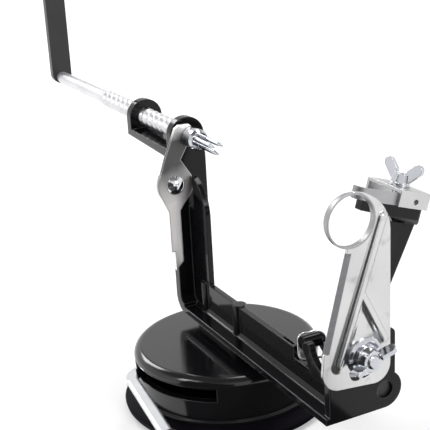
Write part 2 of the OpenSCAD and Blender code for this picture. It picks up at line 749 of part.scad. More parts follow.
module head_outline() {
    stadium([head_left + 9, head_x], [head_right - 5, head_x], 3);
    block = stud_u - clamp_len / 2 - 2;
    box2([block, head_x - head_depth / 2], [head_right - 3, head_x + head_depth / 2]);
    box2([block, head_x - head_depth / 2 + 3], [head_right, head_x + head_depth / 2 - 3]);
    for (side = [-1, 1]) translate([head_right - 3, head_x + side * (head_depth / 2 - 3)]) circle(3);
    polygon([[head_left, head_x + head_depth / 2 - 4.5], [head_left, head_x + head_depth / 2],
        [stud_u, head_x + head_depth / 2], [stud_u, head_x - head_depth / 2],
        [stud_u - clamp_len / 2, head_x - head_depth / 2]]);
}

// Head that carries the blade: bevelled below its front face, and thinner from below towards its left end
module arm_head() on_head() difference() {
    translate([0, 0, head_low]) linear_extrude(head_top - head_low) rotate(90) mirror([0, 1]) head_outline();
    along_y(head_left - 1, head_right + 1) polygon([[head_front + 0.5, head_low - 0.5],
        [head_front + 0.5, head_low + head_bevel + 0.5], [head_front - head_bevel - 0.5, head_low - 0.5]]);
    along_x(head_front - head_depth - 1, head_front + 1) polygon([[head_left - 1, head_low - 1],
        [head_left - 1, head_low + head_rise + 0.4], [stud_u - clamp_len / 2 - 2, head_low + head_rise - 0.4],
        [stud_u - clamp_len / 2 + 3, head_low - 0.3], [stud_u - clamp_len / 2 + 3, head_low - 1]]);
}

// Arm casting: hub, leaning bar, head under the blade, and the stop finger over the rail
module peeling_arm() color(enamel) difference() {
    union() {
        bar_x(hub_rear, hub_front, hub_d / 2, pivot_y, pivot_z);
        on_arm() along_y(bar_set - arm_t / 2, bar_set + arm_t / 2)
            box2([bar_front - arm_w, 0], [bar_front, arm_len]);
        arm_head();
        bar_y(finger_y, finger_y + 9, finger_d / 2, finger_x, finger_z);
        translate([finger_x, finger_y + 9, finger_z]) sphere(finger_d / 2);
        along_x(finger_x - finger_d / 2 + 0.4, finger_x + finger_d / 2 - 0.4) polygon([
            [finger_y + 8, finger_z + 2.3], [pivot_y + 2, pivot_z + 7], [pivot_y - 6, pivot_z + 1.6],
            [finger_y + 9.6, finger_z - 2.8]]);
    }
    bar_x(hub_rear - 1, hub_front + 1, pivot_d / 2 + slip, pivot_y, pivot_z);
    on_head() translate([head_x, stud_u, head_low + 1]) cylinder(h = 20, d = clamp_bolt_d + 2 * slip);
}

// Spring of the arm: a hook over the finger, a leg through the notch, turns round the hub, a leg on the web
spring_r = hub_d / 2 + spring_wire / 2 + 0.9;
coil_x0 = bar_front + 3;
coil_step = spring_wire + 1.1;
coil_from = 95;
coil_to = -125;
coil_last = spring_turns + (coil_from - coil_to) / 360;
coil_points = ceil(8 * coil_last);
function coil_point(turn) = [
    coil_x0 + coil_step * turn,
    pivot_y + spring_r * cos(coil_from - 360 * turn),
    pivot_z + spring_r * sin(coil_from - 360 * turn)];
coil_end = coil_point(coil_last);
hook_top = finger_z + finger_d / 2 + spring_wire / 2 + 0.4;
hook_out = finger_y - spring_wire / 2 - 1.6;
web_side = web_t / 2 + spring_wire / 2 + slip;
arm_spring_path = concat(
    curve([
        [finger_x, finger_y + 7.6, hook_top + 0.3],
        [finger_x, finger_y + 4, hook_top],
        [finger_x + 0.1, finger_y + 0.4, hook_top + 0.3],
        [finger_x + 0.3, finger_y - 1.8, finger_z + 3.2],
        [finger_x + 0.5, hook_out, finger_z + 0.3],
        [finger_x + 1.3, hook_out - 0.4, finger_z - 2.5],
        [lug_x - 1.5, -web_side - 0.2, low_web + 1.1],
        [lug_x - 0.3, -web_side + 0.6, low_web - 0.4],
        [lug_x + 0.2, 0.8, low_web - 0.9],
        [lug_x + 0.9, web_side + 0.9, low_web - 0.5],
        [lug_x + 4.6, pivot_y - 11.1, low_web + 0.7],
        coil_point(0) - [1.6, 3.4, 0.2],
        coil_point(0)], 3),
    [for (i = [1:coil_points]) coil_point(coil_last * i / coil_points)],
    curve([
        coil_end + [0.1, -2.5, 1.75],
        coil_end + [0.2, -11.3, 8],
        [coil_end[0] + 0.2, web_side + 0.2, pivot_z + 2.4],
        [coil_end[0] + 0.2, web_side, pivot_z + 4.4]], 3));

module arm_spring() color(steel) wire(arm_spring_path, spring_wire / 2);

echo(arm_spring_gap = self_gap(arm_spring_path, spring_wire, 6));
echo(latch_spring_gap = self_gap(latch_spring_path, latch_wire, 6));

// Peeling blade and its clamp, in the head's own directions

blade_x = head_front - blade_t;

module peeling_blade() color(zinc) on_head() {
    difference() {
        union() {
            translate([blade_x, blade_left, head_top]) cube([blade_t, clamp_len + 16, blade_h]);
            translate([head_x - 7, stud_u - 6, head_top]) cube([blade_x - head_x + 7.4, 12, blade_t]);
            translate([0, blade_left, head_top]) linear_extrude(blade_h) difference() {
                translate([blade_x + blade_t - 4.4, 0]) circle(4.4);
                translate([blade_x + blade_t - 4.4, 0]) circle(4.4 - blade_t);
                translate([blade_x - 12, 0]) square([20, 10]);
                translate([blade_x - 12, -4.6]) square([8, 6]);
            }
        }
        translate([head_x, stud_u, head_top - 1]) cylinder(h = 3, d = clamp_bolt_d + 2 * slip);
    }
}

// Folded sheet saddle over the head
module blade_clamp() color(steel) on_head() difference() {
    half = head_depth / 2 + slide_gap;
    translate([0, stud_u + clamp_len / 2, 0]) rotate([90, 0, 0]) linear_extrude(clamp_len) {
        box2([head_x + half, head_top - 0.2], [head_x + half + clamp_t, head_top + blade_h + 0.3]);
        box2([head_x - half - clamp_t, head_top - 2.5], [head_x - half, head_top + blade_h + 0.3]);
        box2([head_x - half - clamp_t, head_top + blade_h + 0.2],
            [head_x + half + clamp_t, head_top + blade_h + 0.2 + clamp_t]);
    }
    translate([head_x, stud_u, head_top]) cylinder(h = 20, d = clamp_bolt_d + 2 * slip);
    bar_x(head_x + half - 1, head_x + half + clamp_t + 1, 1.3, stud_u + 1, head_top + blade_h / 2);
}

clamp_top = head_top + blade_h + 0.2 + clamp_t;
clamp_nut_h = 5.6;

// Stud in a blind hole of the head
module clamp_bolt() color(zinc) on_head() {
    stud_low = head_low + 1.1;
    stud_top = clamp_top + clamp_nut_h + 0.4;
    translate([head_x, stud_u, stud_low]) cylinder(h = stud_top - stud_low, d = clamp_bolt_d);
}

// Wing nut standing on z = 0: flange, cone hub and two leaning wings
module wing_nut(d, flange_d, flange_h, hub_h, span, wing_h) difference() {
    union() {
        cylinder(h = flange_h, d = flange_d);
        cylinder(h = hub_h, d1 = d * 1.9, d2 = d * 1.55);
        for (side = [0, 180]) rotate([0, 0, side]) rotate([90, 0, 0])
            translate([0, 0, -d * 0.17]) linear_extrude(d * 0.34) wing_outline(d, hub_h, span / 2, wing_h);
    }
    translate([0, 0, -1]) cylinder(h = hub_h + 20, d = d + 2 * slip);
}

module wing_outline(d, hub_h, reach, wing_h) difference() {
    stadium([d * 0.75, hub_h * 0.5 + 1.5], [reach - 2.6, wing_h - 2.6], 2.6);
    box2([-1, -5], [d * 0.62, wing_h + 5]);
}

module clamp_wing_nut() color(zinc) on_head() translate([head_x, stud_u, clamp_top + slide_gap])
    rotate([0, 0, 10]) wing_nut(clamp_bolt_d, clamp_bolt_d * 2, 1.2, clamp_nut_h, 23, 11.5);

// Slicer and corer, drawn about the corer's own middle

module at_slicer() translate([0, slicer_side, 0]) children();

// Flat outline of the plate: round arch beside the corer, one slanting cutting edge and rounded feet
module plate_outline() {
    left_foot_r = 9;
    right_foot_r = 8;
    left_foot = [edge_low[0] + left_foot_r - 0.8, bolt_z - 3.4];
    right_foot = [arch_r - right_foot_r, bolt_z - 6];
    difference() {
        union() {
            intersection() {
                translate([0, arch_z]) circle(arch_r);
                box2([0, arch_z - 5], [arch_r + 1, arch_z + arch_r + 1]);
            }
            polygon([edge_top, edge_low, left_foot - [left_foot_r, 0], left_foot, right_foot,
                right_foot + [right_foot_r, 0], [arch_r, arch_z], [4, ring_z]]);
            translate(left_foot) circle(left_foot_r);
            translate(right_foot) circle(right_foot_r);
            polygon([left_foot - [1, left_foot_r - 0.06], left_foot + [0, 2], right_foot + [0, 2],
                right_foot - [0.9, right_foot_r - 0.06]]);
        }
        translate([0, ring_z]) circle(ring_r + slip / 2);
    }
}

// Pressed ribs, like a tall Y turned over: one long rib and one leg that leaves it
module plate_ribs(r) translate([rib_x, 0, 0]) {
    rib(rib_top, rib_low, r);
    rib(rib_fork, rib_leg, r - 0.2);
}

// One rib: a capsule turned about the line from a to b
module rib(a, b, r) {
    along = b - a;
    lean = atan2(along[1], along[0]) - 90;
    translate([0, a[0], a[1]]) rotate([lean, 0, 0]) rotate_extrude() intersection() {
        stadium([0, 0], [0, norm(along)], r);
        box2([0, -r - 1], [r + 1, norm(along) + r + 1]);
    }
}

module slicer_plate() color(steel) at_slicer() difference() {
    union() {
        along_x(plate_x, plate_front) plate_outline();
        intersection() {
            plate_ribs(rib_r);
            along_x(plate_x, plate_front + 10) box2([-arch_r, rail_z], [arch_r, shaft_z + arch_r]);
        }
    }
    intersection() {
        plate_ribs(rib_r - slicer_t);
        along_x(plate_x - 1, plate_front + 10) box2([-arch_r, rail_z], [arch_r, shaft_z + arch_r]);
    }
    along_x(plate_x - 1, plate_front + 3)
        stadium([bolt_y - slicer_side, bolt_z], [bolt_y - slicer_side, bolt_z - slot_len], bolt_d / 2 + 0.2);
    edge_grind();
}

// Slanting grind that leaves a knife edge along the plate's side
module edge_grind() {
    along = edge_low - edge_top;
    translate([plate_front, edge_top[0], edge_top[1]]) rotate([atan2(along[0], -along[1]), 0, 0])
        translate([0, 0, 1 - norm(along)]) linear_extrude(norm(along) - 3)
            polygon([[0.2, -edge_grind_w], [0.2, edge_grind_w], [0, edge_grind_w],
                [-2 * edge_grind_depth, -edge_grind_w]]);
}

module corer_ring() color(steel) at_slicer()
    translate([plate_x - ring_len, 0, ring_z]) rotate([0, 90, 0]) rotate_extrude() polygon([
        [ring_r - ring_t, 0.8], [ring_r - ring_t + 0.4, 0], [ring_r, 1.4],
        [ring_r, ring_len + slicer_t + 0.6], [ring_r - ring_t, ring_len + slicer_t + 0.6]]);

module slicer_bolt() color(zinc) translate([0, bolt_y, bolt_z]) {
    bar_x(wall_rear, plate_front + washer_t + slicer_nut_h + 0.8, bolt_d / 2);
    rotate([0, 90, 0]) translate([0, 0, wall_rear - 4]) cylinder(h = 4, d = bolt_d * 1.9, $fn = 6);
}

// Dished washer under the wing nut
module slicer_washer() color(zinc) translate([plate_front + slide_gap, bolt_y, bolt_z]) rotate([0, 90, 0])
    rotate_extrude() polygon([
        [bolt_d / 2 + slip, 0], [washer_r, 0], [washer_r, 0.7], [washer_r - 1.4, washer_t],
        [bolt_d / 2 + slip, washer_t]]);

module slicer_wing_nut() color(zinc)
    translate([plate_front + 2 * slide_gap + washer_t, bolt_y, bolt_z]) rotate([0, 90, 0]) rotate([0, 0, 111])
        wing_nut(bolt_d, bolt_d * 1.9, 1.2, slicer_nut_h, 24, 7.6);

base_housing();
suction_foot();
suction_diaphragm();
suction_plunger();
plunger_pin();
lever_rotor();
rotor_clip();
suction_lever();
lever_grip();
base_screws();
frame_casting();
fork_collar();
lead_screw();
apple_fork();
crank_arm();
knob_spindle();
crank_knob();
latch_rivet();
latch_lever();
latch_spring();
arm_pivot_pin();
arm_clip();
peeling_arm();
arm_spring();
peeling_blade();
blade_clamp();
clamp_bolt();
clamp_wing_nut();
slicer_plate();
corer_ring();
slicer_bolt();
slicer_washer();
slicer_wing_nut();
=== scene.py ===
import math

import bmesh
import bpy
from mathutils import Matrix, Vector


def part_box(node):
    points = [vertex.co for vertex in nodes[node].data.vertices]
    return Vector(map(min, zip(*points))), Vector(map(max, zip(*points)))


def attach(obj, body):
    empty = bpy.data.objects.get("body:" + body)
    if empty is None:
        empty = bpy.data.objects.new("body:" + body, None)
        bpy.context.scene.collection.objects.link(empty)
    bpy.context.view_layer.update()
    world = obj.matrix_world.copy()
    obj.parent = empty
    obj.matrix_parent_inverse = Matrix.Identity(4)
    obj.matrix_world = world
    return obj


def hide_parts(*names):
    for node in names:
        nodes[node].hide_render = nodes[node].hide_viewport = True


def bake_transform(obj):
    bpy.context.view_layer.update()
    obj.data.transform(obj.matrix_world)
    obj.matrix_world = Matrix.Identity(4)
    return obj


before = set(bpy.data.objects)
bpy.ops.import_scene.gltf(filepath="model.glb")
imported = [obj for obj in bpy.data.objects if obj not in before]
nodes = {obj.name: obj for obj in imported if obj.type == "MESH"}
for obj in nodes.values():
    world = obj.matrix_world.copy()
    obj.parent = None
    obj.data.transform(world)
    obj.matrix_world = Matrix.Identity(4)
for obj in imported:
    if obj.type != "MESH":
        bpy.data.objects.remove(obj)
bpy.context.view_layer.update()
MM = 0.001


# View and light.
# The camera stands in front of the slicer's end, a little above the shaft, and looks back along the tool.
# A white studio with a dark ceiling surrounds it, with soft lamps from the left, above, the front and behind.
VIEW_FROM = Vector((0.44144, -0.21272, 0.26350))
VIEW_TURN = math.radians(61.246)
VIEW_DOWN = math.radians(18.834)
VIEW_ROLL = math.radians(-2.192)
IMAGE_SIDE = 430
FOCAL_PIXELS = 1029.85
SIGHT_PIXEL = (271.23, 220.12)
SENSOR = 36.0
NEAREST_SEEN = 0.01
STUDIO_LIGHT = 0.4
WHITE_UP_TO = 0.5
OVERHEAD_FALL = 4.0
OVERHEAD_DARK = 0.75
WHITE = (1, 1, 1, 1)
TOOL_MIDDLE = (0, 0, 0.08)
SLICER_SIDE = (0.05, 0, 0.08)

backward = Vector((
    math.sin(VIEW_TURN) * math.cos(VIEW_DOWN),
    -math.cos(VIEW_TURN) * math.cos(VIEW_DOWN),
    math.sin(VIEW_DOWN)))
level = Vector((math.cos(VIEW_TURN), math.sin(VIEW_TURN), 0))
upward = backward.cross(level)
rolled_right = math.cos(VIEW_ROLL) * level + math.sin(VIEW_ROLL) * upward
rolled_up = -math.sin(VIEW_ROLL) * level + math.cos(VIEW_ROLL) * upward
lens = bpy.data.cameras.new("photo_camera")
lens.sensor_width = SENSOR
lens.lens = FOCAL_PIXELS / IMAGE_SIDE * SENSOR
lens.shift_x = (IMAGE_SIDE / 2 - SIGHT_PIXEL[0]) / IMAGE_SIDE
lens.shift_y = (SIGHT_PIXEL[1] - IMAGE_SIDE / 2) / IMAGE_SIDE
lens.clip_start = NEAREST_SEEN
camera = bpy.data.objects.new("photo_camera", lens)
placing = Matrix((rolled_right, rolled_up, backward)).transposed().to_4x4()
placing.translation = VIEW_FROM
camera.matrix_world = placing
scene = bpy.context.scene
scene.collection.objects.link(camera)
scene.camera = camera
scene.view_settings.view_transform = "Standard"


class Signal:
    """One socket of a node tree, so that its maths reads as plain expressions."""

    def __init__(self, tree, socket):
        self.tree = tree
        self.socket = socket

    def node(self, kind, settings=None, inputs=None, output=0):
        """Adds a node, with its settings before its inputs, and returns one of its outputs."""
        made = self.tree.nodes.new(kind)
        for key, value in (settings or {}).items():
            setattr(made, key, value)
        for key, value in (inputs or {}).items():
            if isinstance(value, Signal):
                self.tree.links.new(value.socket, made.inputs[key])
            else:
                made.inputs[key].default_value = value
        return Signal(self.tree, made.outputs[output])

    def math(self, operation, first, second=0.0):
        return self.node("ShaderNodeMath", {"operation": operation}, {0: first, 1: second})

    def __add__(self, other):
        return self.math("ADD", self, other)

    def __radd__(self, other):
        return self.math("ADD", other, self)

    def __sub__(self, other):
        return self.math("SUBTRACT", self, other)

    def __rsub__(self, other):
        return self.math("SUBTRACT", other, self)

    def __mul__(self, other):
        return self.math("MULTIPLY", self, other)

    def __rmul__(self, other):
        return self.math("MULTIPLY", other, self)

    def clamped(self):
        made = self.math("ADD", self, 0.0)
        made.socket.node.use_clamp = True
        return made

    def mixed(self, low, high):
        """A colour between two others, which are inputs 6 and 7 of the node. Output 2 is their mix."""
        return self.node("ShaderNodeMix", {"data_type": "RGBA"}, {0: self, 6: low, 7: high}, 2)

    def coordinate(self, axis):
        return self.node("ShaderNodeSeparateXYZ", {}, {0: self}, axis)


def seen_directly(tree):
    """1 for rays from the camera, from shiny surfaces and through glass, and 0 for the light itself."""
    path = tree.nodes.new("ShaderNodeLightPath")
    names = ("Is Camera Ray", "Is Glossy Ray", "Is Transmission Ray")
    camera_ray, glossy_ray, glass_ray = [Signal(tree, path.outputs[name]) for name in names]
    return (camera_ray + glossy_ray + glass_ray).clamped()


world = bpy.data.worlds.new("studio")
world.use_nodes = True
world_tree = world.node_tree
studio = world_tree.nodes["Background"]
studio.inputs["Color"].default_value = WHITE
direction = Signal(world_tree, world_tree.nodes.new("ShaderNodeTexCoord").outputs["Generated"])
overhead = ((direction.coordinate("Z") - WHITE_UP_TO) * OVERHEAD_FALL).clamped()
studio_seen = 1.0 - OVERHEAD_DARK * overhead
studio_strength = STUDIO_LIGHT + (studio_seen - STUDIO_LIGHT) * seen_directly(world_tree)
world_tree.links.new(studio_strength.socket, studio.inputs["Strength"])
scene.world = world


def soft_lamp(name, place, target, size, power):
    lamp = bpy.data.lights.new(name, "AREA")
    lamp.size = size
    lamp.energy = power
    holder = bpy.data.objects.new(name, lamp)
    holder.location = place
    holder.rotation_euler = (Vector(target) - Vector(place)).to_track_quat("-Z", "Y").to_euler()
    holder.visible_camera = False
    scene.collection.objects.link(holder)


soft_lamp("window_light", place=(0.1, -0.9, 0.9), target=TOOL_MIDDLE, size=0.4, power=4)
soft_lamp("top_light", place=(-0.2, 0.4, 1.1), target=TOOL_MIDDLE, size=0.45, power=3.5)
soft_lamp("front_light", place=(1.0, 0.3, 0.6), target=SLICER_SIDE, size=0.35, power=3)
soft_lamp("back_light", place=(-1.1, -0.22, 0.87), target=TOOL_MIDDLE, size=0.5, power=6)


# Black cards.
# One stands on the left of the tool and one lies in front of its drum, as in a photographer's studio.
# Only reflections see them. They give the drum its dark side and bright metal its dark lines.
CARD_TONE = (0.07, 0.07, 0.07, 1)
CARD_LIFT = 0.001
CARD_FAR = 0.75
STANDING_NEAR = 0.05
STANDING_LEFT = -0.26
STANDING_TOP = 0.3
LYING_NEAR = 0.03
LYING_LEFT = -0.25
LYING_RIGHT = 0.035
LYING_FAR_RIGHT = 0.06
card_black = bpy.data.materials.new("card_black")
card_black.use_nodes = True
card_shader = card_black.node_tree.nodes["Principled BSDF"]
card_shader.inputs["Base Color"].default_value = CARD_TONE
card_shader.inputs["Specular IOR Level"].default_value = 0.0


def flat_sheet(name, corners, material):
    """One four-cornered sheet of the studio, which is no part of the tool."""
    mesh = bpy.data.meshes.new(name)
    mesh.from_pydata(corners, [], [(0, 1, 2, 3)])
    mesh.materials.append(material)
    sheet = bpy.data.objects.new(name, mesh)
    scene.collection.objects.link(sheet)
    return sheet


def black_card(name, corners):
    card = flat_sheet(name, corners, card_black)
    card.visible_camera = False
    card.visible_diffuse = False
    card.visible_shadow = False


black_card("standing_card", [
    (STANDING_NEAR, STANDING_LEFT, CARD_LIFT), (CARD_FAR, STANDING_LEFT, CARD_LIFT),
    (CARD_FAR, STANDING_LEFT, STANDING_TOP), (STANDING_NEAR, STANDING_LEFT, STANDING_TOP)])
black_card("lying_card", [
    (LYING_NEAR, LYING_LEFT, CARD_LIFT), (CARD_FAR, LYING_LEFT, CARD_LIFT),
    (CARD_FAR, LYING_FAR_RIGHT, CARD_LIFT), (LYING_NEAR, LYING_RIGHT, CARD_LIFT)])


# Floor.
# A white table top, wide enough that no horizon shows.
# It keeps the tool's soft shadow and is lifted to white where nothing shades it, more so far from the lamps.
FLOOR_SIDE = 4.0
FLOOR_TONE = (0.86, 0.86, 0.86, 1)
FLOOR_ROUGHNESS = 0.9
FLOOR_LIFT = 0.28
FAR_LIFT = 0.45
FAR_FROM = 0.4
FAR_GROWTH = 0.8
table = bpy.data.materials.new("white_table")
table.use_nodes = True
table_tree = table.node_tree
table_shader = table_tree.nodes["Principled BSDF"]
table_shader.inputs["Base Color"].default_value = FLOOR_TONE
table_shader.inputs["Roughness"].default_value = FLOOR_ROUGHNESS
table_shader.inputs["Specular IOR Level"].default_value = 0.0
table_place = Signal(table_tree, table_tree.nodes.new("ShaderNodeTexCoord").outputs["Object"])
reach = table_place.node("ShaderNodeVectorMath", {"operation": "LENGTH"}, {0: table_place}, "Value")
far_off = (FAR_GROWTH * (reach - FAR_FROM)).clamped()
lifted = seen_directly(table_tree)
lift = (FLOOR_LIFT + FAR_LIFT * far_off) * lifted
glow = lift.node("ShaderNodeEmission", {}, {"Color": WHITE, "Strength": lift})
both = glow.node("ShaderNodeAddShader", {}, {0: Signal(table_tree, table_shader.outputs[0]), 1: glow})
table_tree.links.new(both.socket, table_tree.nodes["Material Output"].inputs["Surface"])
flat_sheet("floor", [
    (-FLOOR_SIDE, -FLOOR_SIDE, 0), (FLOOR_SIDE, -FLOOR_SIDE, 0),
    (FLOOR_SIDE, FLOOR_SIDE, 0), (-FLOOR_SIDE, FLOOR_SIDE, 0)], table)


# Rubber foot.
# A flared ring of dark moulded rubber under the drum, which grips the table.
# Its skin is matt, with fine pores and a faint bloom.
BEVEL_SAMPLES = 6
BUMP_STRENGTH = 0.4
RUBBER_DARK = (0.003, 0.0025, 0.004, 1)
RUBBER_BLOOM = (0.010, 0.008, 0.012, 1)
RUBBER_SHINE = 0.04


def new_finish(name):
    """A new material, its shader, and the place on the piece that its patterns follow."""
    material = bpy.data.materials.new(name)
    material.use_nodes = True
    tree = material.node_tree
    coordinates = tree.nodes.new("ShaderNodeTexCoord")
    return material, tree.nodes["Principled BSDF"], Signal(tree, coordinates.outputs["Object"])


def grain(place, scale, detail=4.0, stretch=(1, 1, 1)):
    """Noise about 0.5, drawn out into streaks along an axis whose stretch is small."""
    stretched = place.node("ShaderNodeMapping", {}, {"Vector": place, "Scale": stretch})
    return place.node("ShaderNodeTexNoise", {}, {"Vector": stretched, "Scale": scale, "Detail": detail})


def rounded_normal(place, radius):
    return place.node("ShaderNodeBevel", {"samples": BEVEL_SAMPLES}, {"Radius": radius})


def finish_surface(shader, place, color, roughness, relief, depth, rounding):
    """Gives a shader its colour, its roughness, a fine relief and edges that look rounded."""
    links = place.tree.links
    links.new(color.socket, shader.inputs["Base Color"])
    links.new(roughness.socket, shader.inputs["Roughness"])
    bump = place.node("ShaderNodeBump", {}, {
        "Strength": BUMP_STRENGTH, "Distance": depth, "Height": relief,
        "Normal": rounded_normal(place, rounding)})
    links.new(bump.socket, shader.inputs["Normal"])


def paint(material, *names):
    for name in names:
        nodes[name].data.materials.clear()
        nodes[name].data.materials.append(material)


rubber, rubber_shader, place = new_finish("dark_rubber")
rubber_shader.inputs["Specular IOR Level"].default_value = RUBBER_SHINE
bloom = grain(place, scale=70)
pores = grain(place, scale=900, detail=3.0)
finish_surface(
    rubber_shader, place, color=bloom.mixed(RUBBER_DARK, RUBBER_BLOOM), roughness=0.45 + bloom * 0.2,
    relief=pores, depth=0.1 * MM, rounding=0.6 * MM)
paint(rubber, "suction_foot")


# Suction diaphragm.
# A thin domed disc of the same rubber across the foot, clamped at its rim.
# The plunger pulls on its flat middle, so the dome stretches between the two.
DISC_THICK = 1.6 * MM
FLAT_RADIUS = 9.6 * MM
WAIST_RADIUS = 16 * MM
WAIST_HEIGHT = 8.2 * MM
RIM_WIDE = 1 * MM
RIM_TOP = 6.9 * MM
BEND_STEPS = 8
SHARP_EDGE = math.radians(40)


def show(name, mesh, material, body, slot, *replaced):
    """Puts a finished mesh into the scene as a piece that rides on a body, or, given two bodies, stays fixed
    where it is.
    """
    mesh.materials.clear()
    mesh.materials.append(material)
    piece = bpy.data.objects.new(name, mesh)
    scene.collection.objects.link(piece)
    if isinstance(body, str):
        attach(piece, body)
    else:
        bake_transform(piece)
    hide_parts(*replaced)


def turned(name, profile, place=Matrix(), steps=96):
    """A closed profile of (radius, height) points turned about its own axis, then put in its place."""
    shell = bmesh.new()
    rings = []
    for radius, height in profile:
        around = 1 if radius == 0 else steps
        turns = [2 * math.pi * step / steps for step in range(around)]
        rings.append([shell.verts.new((radius * math.cos(a), radius * math.sin(a), height)) for a in turns])
    for lower, upper in zip(rings, rings[1:] + rings[:1]):
        for step in range(steps):
            corners = [lower[step % len(lower)], lower[(step + 1) % len(lower)],
                       upper[(step + 1) % len(upper)], upper[step % len(upper)]]
            corners = list(dict.fromkeys(corners))
            if len(corners) > 2:
                shell.faces.new(corners)
    bmesh.ops.recalc_face_normals(shell, faces=shell.faces)
    shell.transform(place)
    mesh = bpy.data.meshes.new(name)
    shell.to_mesh(mesh)
    shell.free()
    mesh.shade_smooth()
    mesh.set_sharp_from_angle(angle=SHARP_EDGE)
    return mesh


def smooth_path(points):
    """Points of a smooth curve that passes through the given ones."""
    path = []
    last = len(points) - 1
    for index in range(last):
        a, b = points[max(index - 1, 0)], points[index]
        c, d = points[index + 1], points[min(index + 2, last)]
        for step in range(BEND_STEPS):
            t = step / BEND_STEPS
            path.append(0.5 * (2 * b + (c - a) * t + (2 * a - 5 * b + 4 * c - d) * t ** 2
                               + (3 * b - a - 3 * c + d) * t ** 3))
    path.append(points[-1])
    return path


disc_low, disc_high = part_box("suction_diaphragm")
disc_radius = disc_high.x
dome = smooth_path([
    Vector((FLAT_RADIUS, disc_high.z)), Vector((WAIST_RADIUS, WAIST_HEIGHT)),
    Vector((disc_radius - RIM_WIDE, RIM_TOP)), Vector((disc_radius, RIM_TOP))])
upper_side = [(0, disc_high.z)] + [(point.x, point.y) for point in dome]
lower_side = [(radius, height - DISC_THICK) for radius, height in reversed(upper_side)]
diaphragm_mesh = turned("diaphragm_dome", upper_side + lower_side)
show("diaphragm_dome", diaphragm_mesh, rubber,
     ("frame", "plunger", (0, 0, RIM_TOP), (0, 0, disc_high.z)), "rubber", "suction_diaphragm")


# Base drum.
# A pressed and enamelled cup that holds the suction works, with a slot round its side for the lever.
# The enamel flows to a deep gloss with a faint orange peel, and wears thin along its edges.
EDGE_GAIN = 6.0
ENAMEL_DEEP = (0.0035, 0.0035, 0.0042, 1)
ENAMEL_PALE = (0.0085, 0.0085, 0.0100, 1)
ENAMEL_EDGE = (0.10, 0.10, 0.105, 1)


def true_normal(place):
    return place.node("ShaderNodeNewGeometry", output="Normal")


def worn_and_highlit_edges(place, base, edge_tone, share, radius):
    """A colour that turns towards the edge's own tone, by the given share, along sharp edges: wear, and on
    the casting and latch also painted highlight.
    """
    facing = place.node("ShaderNodeVectorMath", {"operation": "DOT_PRODUCT"}, {
        0: rounded_normal(place, radius), 1: true_normal(place)}, "Value")
    edge = (EDGE_GAIN * (1.0 - facing)).clamped()
    return (share * edge).mixed(base, edge_tone)


def enamel_finish(name, gloss, roughness, edge_wear_and_highlight):
    material, shader, place = new_finish(name)
    shader.inputs["Specular IOR Level"].default_value = gloss
    cloud = grain(place, scale=45)
    peel = grain(place, scale=130, detail=1.0)
    enamel_tone = cloud.mixed(ENAMEL_DEEP, ENAMEL_PALE)
    finish_surface(
        shader, place, color=worn_and_highlit_edges(place, enamel_tone, ENAMEL_EDGE, share=edge_wear_and_highlight, radius=0.8 * MM),
        roughness=roughness + cloud * 0.08, relief=peel, depth=0.03 * MM, rounding=0.9 * MM)
    return material


paint(enamel_finish("drum_enamel", gloss=0.6, roughness=0.09, edge_wear_and_highlight=0.25), "base_housing")


# Suction lever and its grip.
# A flat bar of bright plated steel that leaves the drum through its slot and bends forward.
# A sleeve of black plastic is pushed over its end.
PLATING_SHADE = (0.66, 0.67, 0.69, 1)
PLATING_LIGHT = (0.84, 0.85, 0.87, 1)
PLATING_EDGE = (0.95, 0.95, 0.96, 1)
LEVER_ROUNDING = 2.2 * MM
PLASTIC_DARK = (0.010, 0.010, 0.011, 1)
PLASTIC_PALE = (0.022, 0.022, 0.024, 1)


def new_metal(name):
    material, shader, place = new_finish(name)
    shader.inputs["Metallic"].default_value = 1.0
    return material, shader, place


def plated_finish(name, shade, light, rounding=0.4 * MM):
    material, shader, place = new_metal(name)
    haze = grain(place, scale=60)
    scratch = grain(place, scale=500, detail=3.0, stretch=(0.1, 1, 1))
    plating_tone = haze.mixed(shade, light)
    finish_surface(
        shader, place, color=worn_and_highlit_edges(place, plating_tone, PLATING_EDGE, share=0.5, radius=0.4 * MM),
        roughness=0.04 + scratch * 0.10, relief=scratch, depth=0.03 * MM, rounding=rounding)
    return material


plating = plated_finish("bright_plating", PLATING_SHADE, PLATING_LIGHT)
paint(plated_finish("rolled_plating", PLATING_SHADE, PLATING_LIGHT, LEVER_ROUNDING), "suction_lever")

plastic, plastic_shader, place = new_finish("black_plastic")
cloud = grain(place, scale=80)
pits = grain(place, scale=1000, detail=2.0)
finish_surface(
    plastic_shader, place, color=cloud.mixed(PLASTIC_DARK, PLASTIC_PALE), roughness=0.28 + cloud * 0.12,
    relief=pits, depth=0.05 * MM, rounding=0.6 * MM)
paint(plastic, "lever_grip")


# Suction works inside the drum.
# A plunger with a cross pin that rides on the lever's turning cam, its clip, and two screws up into the rail.
# The works are plain satin steel, and the screws are plated.
STEEL_SHADE = (0.46, 0.46, 0.46, 1)
STEEL_LIGHT = (0.68, 0.68, 0.68, 1)
STEEL_EDGE = (0.82, 0.82, 0.83, 1)
satin, satin_shader, place = new_metal("satin_steel")
haze = grain(place, scale=50)
brushing = grain(place, scale=700, detail=3.0, stretch=(1, 1, 0.06))
satin_tone = haze.mixed(STEEL_SHADE, STEEL_LIGHT)
finish_surface(
    satin_shader, place, color=worn_and_highlit_edges(place, satin_tone, STEEL_EDGE, share=0.5, radius=0.4 * MM),
    roughness=0.30 + brushing * 0.2, relief=brushing, depth=0.04 * MM, rounding=0.4 * MM)
paint(satin, "suction_plunger", "plunger_pin", "lever_rotor", "rotor_clip")
paint(plating, "base_screws")


# Frame casting.
# One iron casting with rail, post, two ears, front wall and middle web, dipped in black enamel.
# Two screws from inside the drum hold it down by its bosses.
# Its edges turn lighter, partly as worn enamel and partly as a painted highlight along the rail's edges.
casting_enamel = enamel_finish("casting_enamel", gloss=0.24, roughness=0.05, edge_wear_and_highlight=0.6)
paint(casting_enamel, "frame_casting")


